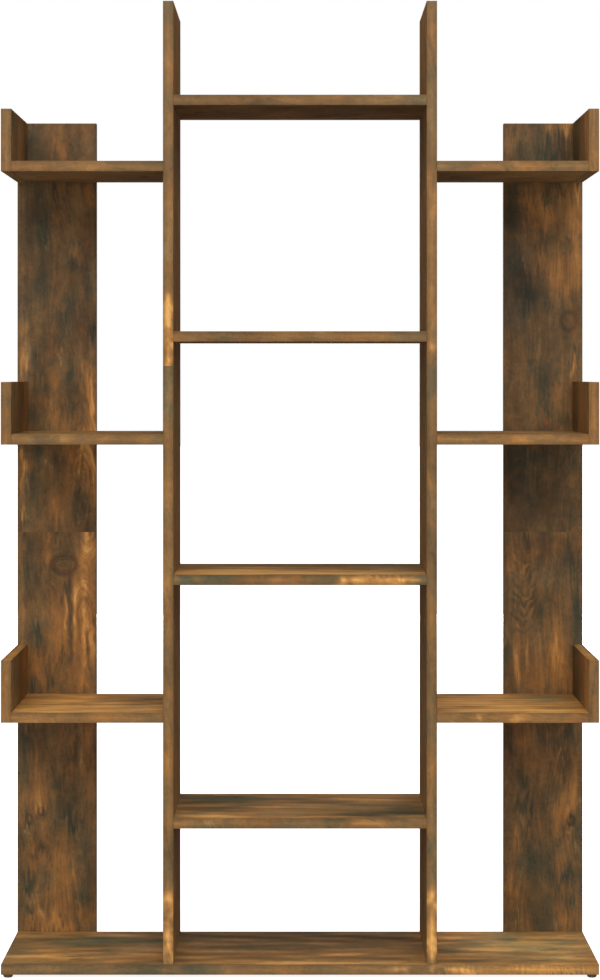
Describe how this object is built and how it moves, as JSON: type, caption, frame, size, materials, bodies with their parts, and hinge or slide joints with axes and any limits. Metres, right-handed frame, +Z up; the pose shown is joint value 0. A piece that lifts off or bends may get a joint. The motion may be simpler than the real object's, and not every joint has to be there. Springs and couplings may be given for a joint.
{
  "type": "open bookcase",
  "caption": "Free-standing open bookcase of dark rustic wood-decor boards: a centre column of shelves with open side trays and narrow back boards.",
  "frame": {"origin": "on the floor, at the middle of the footprint of the base board and the back boards", "axes": "+Z up, the open front faces -Y, +X to the right seen from the front"},
  "size_m": [0.86, 0.255, 1.405],
  "materials": {
    "smoked_oak_board": "satin printed wood decor, dark rustic oak with grey-green and orange patches",
    "beech_dowel": "raw turned beech",
    "zinc_plated_steel": "bright zinc plating",
    "cast_zinc": "dull die-cast zinc",
    "cover_disc": "matt brown foil",
    "glide_plastic": "matt dark brown moulded plastic"
  },
  "bodies": {
    "root": {"base_board": "smoked_oak_board", "left_upright": "smoked_oak_board", "right_upright": "smoked_oak_board", "lowest_centre_shelf": "smoked_oak_board", "lower_centre_shelf": "smoked_oak_board", "upper_centre_shelf": "smoked_oak_board", "highest_centre_shelf": "smoked_oak_board", "low_left_shelf": "smoked_oak_board", "low_left_end_board": "smoked_oak_board", "middle_left_shelf": "smoked_oak_board", "middle_left_end_board": "smoked_oak_board", "high_left_shelf": "smoked_oak_board", "high_left_end_board": "smoked_oak_board", "low_right_shelf": "smoked_oak_board", "low_right_end_board": "smoked_oak_board", "middle_right_shelf": "smoked_oak_board", "middle_right_end_board": "smoked_oak_board", "high_right_shelf": "smoked_oak_board", "high_right_end_board": "smoked_oak_board", "left_back_board": "smoked_oak_board", "right_back_board": "smoked_oak_board", "front_left_glide": "glide_plastic", "front_right_glide": "glide_plastic", "rear_left_glide": "glide_plastic", "rear_right_glide": "glide_plastic", "shelf_dowels": "beech_dowel", "cam_bolts": "zinc_plated_steel", "cam_locks": "cast_zinc", "cam_cover_discs": "cover_disc", "base_screws": "zinc_plated_steel", "back_board_screws": "zinc_plated_steel", "glide_nails": "zinc_plated_steel"}
  },
  "joints": []
}
